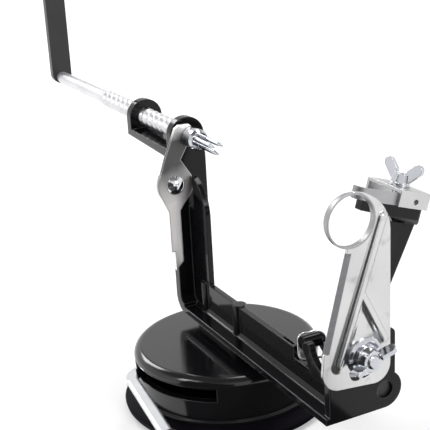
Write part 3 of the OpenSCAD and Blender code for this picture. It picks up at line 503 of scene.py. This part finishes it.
# Lead screw.
# One steel bar with a coarse rounded thread rolled into its front half and a plain rod behind, in satin zinc.
# Its rear end is set into the crank arm and spread over like a rivet.
ZINC_SHADE = (0.66, 0.66, 0.68, 1)
ZINC_LIGHT = (0.84, 0.84, 0.85, 1)
THREAD_PITCH = 7 * MM
THREAD_DEPTH = 1.8 * MM
THREAD_LENGTH = 124 * MM
ROD_RADIUS = 3.9 * MM
SPIGOT_RADIUS = 2.9 * MM
SPIGOT_OVERLAP = 0.1 * MM
RIVET_HEIGHT = 1 * MM
RIVET_SPREAD = 0.8 * MM
RIVET_SLOPE = 0.6 * RIVET_HEIGHT
CRANK_THICK = 5 * MM
TOOTH_X = -29 * MM
MERGE_WITHIN = 0.0005 * MM
ALONG_X = Matrix(((0, 0, 1, 0), (0, 1, 0, 0), (-1, 0, 0, 0), (0, 0, 0, 1)))


def new_tree(name, **inputs):
    """A geometry tree with one output and the named inputs of each kind, and its inputs by name."""
    tree = bpy.data.node_groups.new(name, "GeometryNodeTree")
    tree.interface.new_socket("Shape", in_out="OUTPUT", socket_type="NodeSocketGeometry")
    for kind, names in inputs.items():
        for socket_name in names:
            tree.interface.new_socket(socket_name, in_out="INPUT", socket_type="NodeSocket" + kind)
    inner = tree.nodes.new("NodeGroupInput")
    return tree, {socket.name: Signal(tree, socket) for socket in inner.outputs if socket.name}


def end_tree(tree, shape, finish):
    """Ends a tree with real geometry in its finish."""
    real = shape.node("GeometryNodeRealizeInstances", {}, {"Geometry": shape})
    dressed = real.node("GeometryNodeSetMaterial", {}, {"Geometry": real, "Material": finish})
    outer = tree.nodes.new("NodeGroupOutput")
    tree.links.new(dressed.socket, outer.inputs[0])


def thread_tree():
    """A bar along X whose skin waves in and out along a helix, with a plain length before the thread."""
    lengths = ("Rear", "Front", "Plain radius", "Crest radius", "Depth",
               "Pitch", "Groove", "Thread rear", "Runout")
    tree, size = new_tree("rolled_thread", Float=lengths, Int=("Rings", "Sides"), Material=("Finish",))
    start = size["Rear"]
    sheet = start.node("GeometryNodeMeshGrid", {}, {"Vertices X": size["Rings"], "Vertices Y": size["Sides"]})
    spot = start.node("GeometryNodeInputPosition")
    along = spot.coordinate("X") + 0.5
    turn = (spot.coordinate("Y") + 0.5) * (2 * math.pi)
    x = start + along * (size["Front"] - start)
    helix = turn - 2 * math.pi * start.math("DIVIDE", x - size["Groove"], size["Pitch"])
    half = 0.5 * size["Depth"]
    threaded = size["Crest radius"] - half + half * start.math("COSINE", helix)
    grown = start.math("DIVIDE", x - size["Thread rear"], size["Runout"]).clamped()
    radius = size["Plain radius"] + grown * (threaded - size["Plain radius"])
    skin = start.node("ShaderNodeCombineXYZ", {}, {
        0: x, 1: radius * start.math("COSINE", turn), 2: radius * start.math("SINE", turn)})
    wrapped = start.node("GeometryNodeSetPosition", {}, {"Geometry": sheet, "Position": skin})
    end_tree(tree, wrapped, size["Finish"])
    return tree


def grown_mesh(name, tree, values, seed_mesh=None):
    """Runs a geometry tree with the given input values and returns what it makes as a plain mesh."""
    holder = bpy.data.objects.new(name, seed_mesh or bpy.data.meshes.new(name))
    scene.collection.objects.link(holder)
    step = holder.modifiers.new(name, "NODES")
    step.node_group = tree
    for socket in tree.interface.items_tree:
        if socket.in_out == "INPUT" and socket.name in values:
            step[socket.identifier] = values[socket.name]
    shaped = holder.evaluated_get(bpy.context.evaluated_depsgraph_get())
    mesh = bpy.data.meshes.new_from_object(shaped)
    holder.modifiers.remove(step)
    bpy.data.objects.remove(holder)
    mesh.name = name
    return mesh


def threaded_bar(name, place, end_piece, **values):
    """A threaded bar with its seam and both ends closed, joined by a closed end piece, put in its place."""
    mesh = grown_mesh(name, rolled_thread, values)
    bar = bmesh.new()
    bar.from_mesh(mesh)
    bmesh.ops.remove_doubles(bar, verts=bar.verts, dist=MERGE_WITHIN)
    bmesh.ops.holes_fill(bar, edges=bar.edges)
    bmesh.ops.recalc_face_normals(bar, faces=bar.faces)
    bar.from_mesh(end_piece)
    bar.transform(place)
    bar.to_mesh(mesh)
    bar.free()
    mesh.shade_smooth()
    mesh.set_sharp_from_angle(angle=SHARP_EDGE)
    return mesh


zinc, zinc_shader, place = new_metal("rolled_zinc")
haze = grain(place, scale=70)
drawing = grain(place, scale=500, detail=3.0, stretch=(0.05, 1, 1))
finish_surface(
    zinc_shader, place, color=haze.mixed(ZINC_SHADE, ZINC_LIGHT), roughness=0.45 + drawing * 0.12,
    relief=drawing, depth=0.03 * MM, rounding=0.3 * MM)

rolled_thread = thread_tree()
screw_low, screw_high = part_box("lead_screw")
shaft_line = Matrix.Translation((0, 0, (screw_low.z + screw_high.z) / 2))
rod_rear = screw_low.x + RIVET_HEIGHT + CRANK_THICK
spread_radius = SPIGOT_RADIUS + RIVET_SPREAD
spigot = turned("screw_spigot", [
    (0, screw_low.x), (SPIGOT_RADIUS, screw_low.x), (spread_radius, screw_low.x + RIVET_SLOPE),
    (spread_radius, screw_low.x + RIVET_HEIGHT), (SPIGOT_RADIUS, screw_low.x + RIVET_HEIGHT),
    (SPIGOT_RADIUS, rod_rear + SPIGOT_OVERLAP), (0, rod_rear + SPIGOT_OVERLAP)], ALONG_X, steps=48)
screw_mesh = threaded_bar("rolled_lead_screw", shaft_line, spigot, **{
    "Rear": rod_rear, "Front": screw_high.x, "Plain radius": ROD_RADIUS,
    "Crest radius": (screw_high.z - screw_low.z) / 2, "Depth": THREAD_DEPTH, "Pitch": THREAD_PITCH,
    "Groove": TOOTH_X, "Thread rear": screw_high.x - THREAD_LENGTH, "Runout": THREAD_PITCH / 2,
    "Rings": 700, "Sides": 49, "Finish": zinc})
show("rolled_lead_screw", screw_mesh, zinc, "shaft", "bright_zinc", "lead_screw")


# Fork and collar.
# Three sharp prongs on a turned collar at the front of the screw hold what is being peeled.
# Both are steel plated in bluish zinc.
BLUE_SHADE = (0.42, 0.43, 0.46, 1)
BLUE_LIGHT = (0.70, 0.72, 0.76, 1)
blue_zinc = plated_finish("blue_zinc", BLUE_SHADE, BLUE_LIGHT)
paint(blue_zinc, "fork_collar", "apple_fork")


# Crank arm, spindle and knob.
# A flat steel bar with a thin satin black coat, and a shouldered rivet on which the plastic knob turns.
# The knob is turned with a waist near the arm, a full round end and two fine rings.
COAT_DARK = (0.008, 0.008, 0.009, 1)
COAT_PALE = (0.020, 0.020, 0.022, 1)
COAT_EDGE = (0.20, 0.20, 0.20, 1)
KNOB_BORE = 3.1 * MM
KNOB_STEPS = 60
KNOB_WAIST = 0.64
KNOB_SWELL = 0.36
SWELL_FROM = 2
SWELL_TURN = 170
SWELL_SKEW = 0.75
RING_PLACES = (0.07, 0.11)
RING_DEPTH = 0.4 * MM
RING_WIDE = 0.008
END_LONG = 0.06
END_ROUNDING = 1.8 * MM
coat, coat_shader, place = new_finish("satin_black_coat")
cloud = grain(place, scale=60)
fine = grain(place, scale=800, detail=2.0)
coat_tone = cloud.mixed(COAT_DARK, COAT_PALE)
finish_surface(
    coat_shader, place, color=worn_and_highlit_edges(place, coat_tone, COAT_EDGE, share=0.35, radius=0.6 * MM),
    roughness=0.30 + cloud * 0.14, relief=fine, depth=0.05 * MM, rounding=0.6 * MM)
paint(coat, "crank_arm")
paint(plating, "knob_spindle")

knob_low, knob_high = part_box("crank_knob")
knob_long = knob_high.x - knob_low.x
knob_radius = (knob_high.z - knob_low.z) / 2


def knob_profile(t):
    """Radius and place of the knob's skin, from 0 at the arm to 1 at its end."""
    swell = math.sin(math.radians(SWELL_TURN * t ** SWELL_SKEW + SWELL_FROM))
    radius = knob_radius * (KNOB_WAIST + KNOB_SWELL * swell)
    for middle in RING_PLACES:
        radius -= RING_DEPTH * math.exp(-((t - middle) / RING_WIDE) ** 2)
    past = max(0.0, (t - 1 + END_LONG) / END_LONG)
    return (radius - END_ROUNDING * past ** 2, -t * knob_long)


outside = [knob_profile(step / KNOB_STEPS) for step in range(KNOB_STEPS + 1)]
knob_place = Matrix.Translation((knob_high.x, 0, (knob_low.z + knob_high.z) / 2)) @ ALONG_X
knob_mesh = turned("turned_knob", [(KNOB_BORE, 0)] + outside + [(KNOB_BORE, -knob_long)], knob_place)
show("turned_knob", knob_mesh, plastic, "knob", "black_plastic", "crank_knob")


# Latch, its rivet and its spring.
# A stamped steel plate on a domed rivet, whose tooth stands in the thread. It is dark steel, with a painted
# highlight, nearly white, that grows towards its tail and over its top, and lighter edges that are partly
# wear and partly painted highlight.
# A fine wire spring round the rivet, behind the plate, presses the tooth home.
LATCH_DARK = (0.12, 0.12, 0.12, 1)
LATCH_PAINTED_HIGHLIGHT = (0.94, 0.92, 0.91, 1)
TAIL_HIGHLIGHT_BELOW = 121 * MM
TAIL_HIGHLIGHT_OVER = 20 * MM
TAIL_HIGHLIGHT_PATCHY = 0.5
TOP_HIGHLIGHT_ABOVE = 134 * MM
TOP_HIGHLIGHT_OVER = 5 * MM
latch_steel, latch_shader, place = new_metal("rolled_steel")
haze = grain(place, scale=90)
rolling = grain(place, scale=600, detail=3.0, stretch=(1, 1, 0.08))
height = place.coordinate("Z")
# Painted highlight: the tone turns nearly white below the tail line, patchy along it, and above the top line.
painted_tail_highlight = ((TAIL_HIGHLIGHT_BELOW - height) * (1 / TAIL_HIGHLIGHT_OVER) + (haze - 0.5) * TAIL_HIGHLIGHT_PATCHY).clamped()
painted_top_highlight = ((height - TOP_HIGHLIGHT_ABOVE) * (1 / TOP_HIGHLIGHT_OVER)).clamped()
latch_tone_and_highlight = (painted_tail_highlight + painted_top_highlight).clamped().mixed(LATCH_DARK, LATCH_PAINTED_HIGHLIGHT)
# The lighter rim is partly edge wear and partly a painted highlight.
finish_surface(
    latch_shader, place, color=worn_and_highlit_edges(place, latch_tone_and_highlight, STEEL_EDGE, share=0.8, radius=0.9 * MM),
    roughness=0.28 + rolling * 0.2, relief=rolling, depth=0.04 * MM, rounding=0.9 * MM)
paint(latch_steel, "latch_lever")
paint(plating, "latch_rivet")

# The spring is laid out in millimetres.
LATCH_WIRE = 0.9
LATCH_COIL = 4.9
LATCH_COIL_FROM = 250
LATCH_STEPS = 40
WIRE_SIDES = 14
WIRE_SHARP_EDGE = math.radians(50)
POST_FACE = -33
POST_GAP = 0.75
PLATE_GAP = 2.25
RIVET_Y = -10.4
RIVET_Z = 110.8
TAIL_Y = -15.1
near_post = POST_FACE + POST_GAP
near_plate = POST_FACE + PLATE_GAP


def wire_tree():
    """A round wire along a chain of points, with both ends closed."""
    tree, size = new_tree(
        "bent_wire", Geometry=("Path",), Float=("Radius",), Int=("Sides",), Material=("Finish",))
    chain = size["Path"]
    curve = chain.node("GeometryNodeMeshToCurve", {}, {"Mesh": chain})
    section = chain.node("GeometryNodeCurvePrimitiveCircle", {}, {
        "Resolution": size["Sides"], "Radius": size["Radius"]})
    swept = chain.node("GeometryNodeCurveToMesh", {}, {
        "Curve": curve, "Profile Curve": section, "Fill Caps": True})
    end_tree(tree, swept, size["Finish"])
    return tree


def wire(name, path, radius, finish):
    chain = bpy.data.meshes.new(name)
    chain.from_pydata(path, [(step, step + 1) for step in range(len(path) - 1)], [])
    mesh = grown_mesh(name, bent_wire, {"Radius": radius, "Sides": WIRE_SIDES, "Finish": finish}, chain)
    tube = bmesh.new()
    tube.from_mesh(mesh)
    bmesh.ops.remove_doubles(tube, verts=tube.verts, dist=MERGE_WITHIN)
    bmesh.ops.recalc_face_normals(tube, faces=tube.faces)
    tube.to_mesh(mesh)
    tube.free()
    mesh.shade_smooth()
    mesh.set_sharp_from_angle(angle=WIRE_SHARP_EDGE)
    return mesh


def in_metres(points):
    return [Vector(point) * MM for point in points]


def latch_coil(t):
    turn = math.radians(LATCH_COIL_FROM - 360 * t)
    return (near_post + (near_plate - near_post) * t,
            RIVET_Y + LATCH_COIL * math.cos(turn), RIVET_Z + LATCH_COIL * math.sin(turn))


bent_wire = wire_tree()
coil_end = latch_coil(1)
frame_leg = in_metres([
    (near_post, RIVET_Y + 6.6, RIVET_Z - 7.4), (near_post, RIVET_Y + 4.4, RIVET_Z - 7),
    (near_post, RIVET_Y + 1.4, RIVET_Z - 6), latch_coil(0)])
latch_leg = in_metres([
    (coil_end[0] + 0.05, coil_end[1] - 1.2, coil_end[2] + 1), (near_plate, RIVET_Y - 4.4, RIVET_Z - 8),
    (near_plate, TAIL_Y + 1, RIVET_Z - 15), (near_plate, TAIL_Y + 1.4, RIVET_Z - 19)])
latch_turns = in_metres([latch_coil(step / LATCH_STEPS) for step in range(1, LATCH_STEPS + 1)])
latch_path = smooth_path(frame_leg) + latch_turns + smooth_path(latch_leg)
latch_spring_mesh = wire("latch_wire_spring", latch_path, LATCH_WIRE / 2 * MM, satin)
show("latch_wire_spring", latch_spring_mesh, satin,
     ("frame", "latch", (0, (RIVET_Y + 5) * MM, 0), (0, (RIVET_Y - 4) * MM, 0)), "steel", "latch_spring")


# Peeling arm, its pin and its spring.
# A leaning enamelled casting that swings on a pin in the front wall, with a finger over the rail as its stop.
# A wire spring lies round its hub: one leg rests on the rail's web, the other goes under the web's edge
# and hooks over the finger, which it pulls towards the rail.
paint(casting_enamel, "peeling_arm")
paint(coat, "arm_pivot_pin")
paint(satin, "arm_clip")

# The spring is laid out in millimetres.
SPRING_WIRE = 1.0
SPRING_TURNS = 3
COIL_RADIUS = 8.9
COIL_START_X = 91
COIL_STEP = 2.1
COIL_FROM = 95
COIL_TO = -125
TURN_STEPS = 40
PIVOT_Y = 20.6
PIVOT_Z = 47.2
FINGER_X = 76.9
FINGER_Y = 0.6
FINGER_Z = 60.3
HOOK_TOP = 64.6
HOOK_OUT = -1.5
WEB_SIDE = 2.05
WEB_LOW = 54.5
LUG_X = 80.9
UNDER_WEB = (81, -1.9, 54.5)
ON_FINGER = (77, -1.5, 61)


def arm_coil(turn):
    angle = math.radians(COIL_FROM - 360 * turn)
    return Vector((COIL_START_X + COIL_STEP * turn,
                   PIVOT_Y + COIL_RADIUS * math.cos(angle), PIVOT_Z + COIL_RADIUS * math.sin(angle)))


coil_last = SPRING_TURNS + (COIL_FROM - COIL_TO) / 360
coil_end = arm_coil(coil_last)
hook_leg = in_metres([
    (FINGER_X, FINGER_Y + 7.6, HOOK_TOP + 0.3), (FINGER_X, FINGER_Y + 4, HOOK_TOP),
    (FINGER_X + 0.1, FINGER_Y + 0.4, HOOK_TOP + 0.3), (FINGER_X + 0.3, FINGER_Y - 1.8, FINGER_Z + 3.2),
    (FINGER_X + 0.5, HOOK_OUT, FINGER_Z + 0.3), (FINGER_X + 1.3, HOOK_OUT - 0.4, FINGER_Z - 2.5),
    (LUG_X - 1.5, -WEB_SIDE - 0.2, WEB_LOW + 1.1), (LUG_X - 0.3, -WEB_SIDE + 0.6, WEB_LOW - 0.4),
    (LUG_X + 0.2, 0.8, WEB_LOW - 0.9), (LUG_X + 0.9, WEB_SIDE + 0.9, WEB_LOW - 0.5),
    (LUG_X + 4.6, PIVOT_Y - 11.1, WEB_LOW + 0.7), arm_coil(0) - Vector((1.6, 3.4, 0.2)), arm_coil(0)])
turn_count = int(TURN_STEPS * coil_last)
arm_turns = in_metres([arm_coil(coil_last * step / turn_count) for step in range(1, turn_count + 1)])
web_leg = in_metres([
    coil_end + Vector((0.1, -2.5, 1.75)), coil_end + Vector((0.2, -11.3, 8)),
    (coil_end.x + 0.2, WEB_SIDE + 0.2, PIVOT_Z + 2.4), (coil_end.x + 0.2, WEB_SIDE, PIVOT_Z + 4.4)])
arm_path = smooth_path(hook_leg) + arm_turns + smooth_path(web_leg)
arm_spring_mesh = wire("arm_wire_spring", arm_path, SPRING_WIRE / 2 * MM, plating)
under_web, on_finger = in_metres([UNDER_WEB, ON_FINGER])
show("arm_wire_spring", arm_spring_mesh, plating,
     ("frame", "arm", tuple(under_web), tuple(on_finger)), "steel", "arm_spring")


# Peeling blade, clamp, stud and wing nut.
# A bent strip of ground grey steel lies on the arm's head under a folded clamp of satin sheet.
# The stud stands in the head and the wing nut pulls the clamp down, both in the fork's bluish zinc.
BLADE_SHADE = (0.30, 0.30, 0.31, 1)
BLADE_LIGHT = (0.46, 0.46, 0.47, 1)
blade_steel, blade_shader, place = new_metal("blade_steel")
haze = grain(place, scale=60)
grinding = grain(place, scale=700, detail=3.0, stretch=(1, 0.06, 1))
blade_tone = haze.mixed(BLADE_SHADE, BLADE_LIGHT)
finish_surface(
    blade_shader, place, color=worn_and_highlit_edges(place, blade_tone, STEEL_EDGE, share=0.5, radius=0.3 * MM),
    roughness=0.34 + grinding * 0.2, relief=grinding, depth=0.03 * MM, rounding=0.3 * MM)
paint(blade_steel, "peeling_blade")
paint(blue_zinc, "clamp_bolt", "clamp_wing_nut")
paint(satin, "blade_clamp")


# Slicer plate and corer ring.
# A stamped plate of satin steel, faintly stained, with soft-shouldered pressed ribs, one slanting ground edge
# and a slot for its bolt. The corer is a short ring of the blade's steel set into its rounded top.
PLATE_SHADE = (0.50, 0.50, 0.50, 1)
PLATE_LIGHT = (0.74, 0.74, 0.74, 1)
STAIN_TONE = (0.30, 0.28, 0.26, 1)
STAIN_FROM = 0.60
STAIN_GROWTH = 7.0
STAIN_MOST = 0.45
GROUND_SHADE = (0.36, 0.35, 0.37, 1)
GROUND_LIGHT = (0.60, 0.58, 0.61, 1)
GRIND_LOW_Y = -10.9 * MM
GRIND_LOW_Z = 73.0 * MM
GRIND_HIGH_Y = 0.7 * MM
GRIND_HIGH_Z = 115.1 * MM
GRIND_WIDE = 2.3 * MM
GRIND_FADE = 0.2 * MM
RIB_TOP = Vector((18.3, 127.5)) * MM
RIB_LOW = Vector((-4.0, 66.2)) * MM
RIB_LEG = Vector((19.0, 73.0)) * MM
RIB_HALF = 2.35 * MM
LEG_HALF = 2.1 * MM
SHOULDER_WIDE = 1.9 * MM
SHOULDER_RISE = 34.0
plate_steel, plate_shader, place = new_metal("stamped_steel")
haze = grain(place, scale=40)
brushing = grain(place, scale=700, detail=3.0, stretch=(1, 1, 0.06))
stains = STAIN_MOST * ((grain(place, scale=140, detail=6.0) - STAIN_FROM) * STAIN_GROWTH).clamped()
plate_base = stains.mixed(haze.mixed(PLATE_SHADE, PLATE_LIGHT), STAIN_TONE)
plate_tone = worn_and_highlit_edges(place, plate_base, STEEL_EDGE, share=0.5, radius=0.4 * MM)

sideways = place.coordinate("Y")
height = place.coordinate("Z")
grind_lean = (GRIND_HIGH_Y - GRIND_LOW_Y) / (GRIND_HIGH_Z - GRIND_LOW_Z)
inward = sideways - GRIND_LOW_Y - grind_lean * (height - GRIND_LOW_Z)
near_edge = ((GRIND_WIDE - inward) * (1 / GRIND_FADE)).clamped()
above_foot = ((height - GRIND_LOW_Z) * (1 / GRIND_FADE)).clamped()
below_ring = ((GRIND_HIGH_Z - height) * (1 / GRIND_FADE)).clamped()
ground = near_edge * above_foot * below_ring
grinding = grain(place, scale=1500, detail=2.0, stretch=(1, 0.15, 1))
ground_tone = grinding.mixed(GROUND_SHADE, GROUND_LIGHT)


def rib_shoulder(start, end, half):
    """1 on a pressed rib, falling to 0 over the soft shoulder round it."""
    line = (end - start).normalized()
    across = (sideways - start.x) * line.y - (height - start.y) * line.x
    along = (sideways - start.x) * line.x + (height - start.y) * line.y
    past_ends = along.math("MAXIMUM", -1.0 * along, along - (end - start).length)
    past = along.math("MAXIMUM", past_ends, 0.0)
    distance = along.math("SQRT", across * across + past * past)
    near = ((half + SHOULDER_WIDE - distance) * (1 / SHOULDER_WIDE)).clamped()
    return near * near


# The shoulders stand out in front and sink in behind, as the ribs do.
long_shoulder = rib_shoulder(RIB_TOP, RIB_LOW, RIB_HALF)
leg_shoulder = rib_shoulder((RIB_TOP + RIB_LOW) / 2, RIB_LEG, LEG_HALF)
shoulders = place.math("MAXIMUM", long_shoulder, leg_shoulder)
front = place.math("SIGN", true_normal(place).coordinate("X"))
finish_surface(
    plate_shader, place, color=ground.mixed(plate_tone, ground_tone),
    roughness=0.16 + brushing * 0.12 + ground * 0.36,
    relief=brushing + SHOULDER_RISE * shoulders * front, depth=0.04 * MM, rounding=0.4 * MM)
paint(plate_steel, "slicer_plate")
paint(blade_steel, "corer_ring")


# Slicer bolt, washer and wing nut.
# A bolt through the front wall, with a washer and a wing nut that lets the plate slide on its slot.
# All are in the fork's bluish zinc. The bolt's thread is fine and shows at its end.
BOLT_PITCH = 1 * MM
BOLT_DEPTH = 0.6 * MM
BOLT_RADIUS = 3 * MM
BOLT_PLAIN = 6 * MM
BOLT_OVERLAP = 0.5 * MM
HEAD_HEIGHT = 4 * MM
HEAD_SIDES = 6
HEAD_BEVEL = 0.8 * MM
HEAD_BEVEL_HEIGHT = 0.6 * MM
paint(blue_zinc, "slicer_washer", "slicer_wing_nut")

bolt_low, bolt_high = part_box("slicer_bolt")
bolt_middle = (bolt_low + bolt_high) / 2
bolt_line = Matrix.Translation((0, bolt_middle.y, bolt_middle.z))
head_radius = (bolt_high.y - bolt_low.y) / 2
head_front = bolt_low.x + HEAD_HEIGHT
bolt_head = turned("bolt_head", [
    (0, bolt_low.x), (head_radius - HEAD_BEVEL, bolt_low.x), (head_radius, bolt_low.x + HEAD_BEVEL_HEIGHT),
    (head_radius, head_front), (0, head_front)], ALONG_X, HEAD_SIDES)
bolt_mesh = threaded_bar("slicer_screw_bolt", bolt_line, bolt_head, **{
    "Rear": head_front - BOLT_OVERLAP, "Front": bolt_high.x, "Plain radius": BOLT_RADIUS,
    "Crest radius": BOLT_RADIUS, "Depth": BOLT_DEPTH, "Pitch": BOLT_PITCH, "Groove": bolt_high.x,
    "Thread rear": head_front + BOLT_PLAIN, "Runout": BOLT_PITCH, "Rings": 220, "Sides": 33,
    "Finish": blue_zinc})
show("slicer_screw_bolt", bolt_mesh, blue_zinc, "frame", "bright_zinc", "slicer_bolt")
